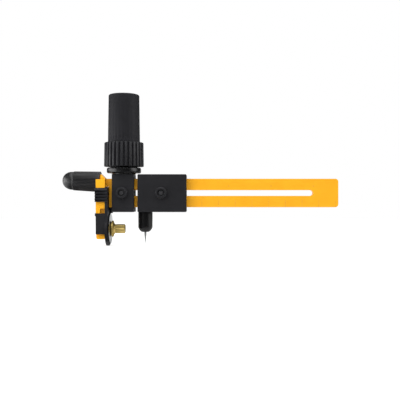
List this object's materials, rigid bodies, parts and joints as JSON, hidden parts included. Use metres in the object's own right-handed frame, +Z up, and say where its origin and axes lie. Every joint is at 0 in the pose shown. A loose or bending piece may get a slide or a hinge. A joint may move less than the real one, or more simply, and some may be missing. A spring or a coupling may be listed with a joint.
{
  "type": "circle cutter",
  "caption": "Hand-held beam circle cutter: slotted amber arm, sliding needle block with clamp knob, round blade in a sliding guard, ratchet handle and parked needle cap.",
  "frame": {"origin": "tip of the needle, level with the lowest point of the blade: the centre of the circle that is cut", "axes": "+X along the arm away from the blade, +Z up along the needle and the handle, -Y is the front that the picture shows"},
  "size_m": [0.1655, 0.0277, 0.091],
  "materials": {
    "amber_plastic": "satin moulded amber-yellow ABS",
    "black_plastic": "fine-grained moulded black ABS",
    "black_gloss_plastic": "polished black plastic",
    "steel": "zinc-plated and ground steel",
    "blade_steel": "ground tool steel with a bright bevel",
    "brass": "machined and knurled brass"
  },
  "bodies": {
    "needle_block": {"needle_block": "black_plastic", "clamp_nut": "steel", "clamp_washer": "steel", "needle_holder": "black_plastic", "holder_stud": "steel", "needle": "steel"},
    "clamp_knob": {"clamp_knob": "black_plastic", "clamp_screw": "steel"},
    "arm": {"arm": "amber_plastic", "handle_block": "black_plastic", "handle_block_nut": "steel", "handle_block_screw": "steel", "bearing_flange": "black_gloss_plastic", "spindle_bolt": "steel", "ratchet_wheel": "steel", "spindle_washer": "steel", "spindle_nut": "steel", "blade_nut": "steel"},
    "handle": {"collar": "black_plastic", "grip": "black_plastic", "pawl_a_spring": "steel", "pawl_b_spring": "steel"},
    "pawl_a": {"pawl_a": "steel"},
    "pawl_b": {"pawl_b": "steel"},
    "blade": {"blade": "blade_steel"},
    "blade_screw": {"blade_screw": "brass"},
    "blade_guard": {"blade_guard": "black_plastic"},
    "needle_cap": {"needle_cap": "black_gloss_plastic"}
  },
  "joints": [
    {"name": "arm_slide", "type": "slide", "parent": "needle_block", "child": "arm", "axis": [-1, 0, 0], "range_m": [-0.0008, 0.0892]},
    {"name": "clamp_turn", "type": "hinge", "parent": "needle_block", "child": "clamp_knob", "pos_m": [0.00975, 0.01, 0.03045], "axis": [0, 1, 0], "range_deg": [0, 360]},
    {"name": "handle_spin", "type": "hinge", "parent": "arm", "child": "handle", "pos_m": [-0.0129, 0, 0.05], "axis": [0, 0, 1], "continuous": true},
    {"name": "pawl_a_lift", "type": "hinge", "parent": "handle", "child": "pawl_a", "pos_m": [-0.00615, 0.0039, 0.05], "axis": [0, 0, 1], "range_deg": [0, 12], "stiffness_Nm_per_rad": 0.01, "springref_deg": -5.73},
    {"name": "pawl_b_lift", "type": "hinge", "parent": "handle", "child": "pawl_b", "pos_m": [-0.01965, -0.0039, 0.05], "axis": [0, 0, 1], "range_deg": [0, 12], "stiffness_Nm_per_rad": 0.01, "springref_deg": -5.73},
    {"name": "blade_spin", "type": "hinge", "parent": "arm", "child": "blade", "pos_m": [-0.0208, 0, 0.009], "axis": [1, 0, 0], "continuous": true},
    {"name": "blade_screw_turn", "type": "hinge", "parent": "arm", "child": "blade_screw", "pos_m": [-0.0165, 0, 0.009], "axis": [1, 0, 0], "continuous": true},
    {"name": "guard_slide", "type": "slide", "parent": "arm", "child": "blade_guard", "axis": [0, 0, 1], "range_m": [0, 0.0055]},
    {"name": "cap_slide", "type": "slide", "parent": "arm", "child": "needle_cap", "axis": [-0.9993, 0, 0.0384], "range_m": [0, 0.03]}
  ]
}
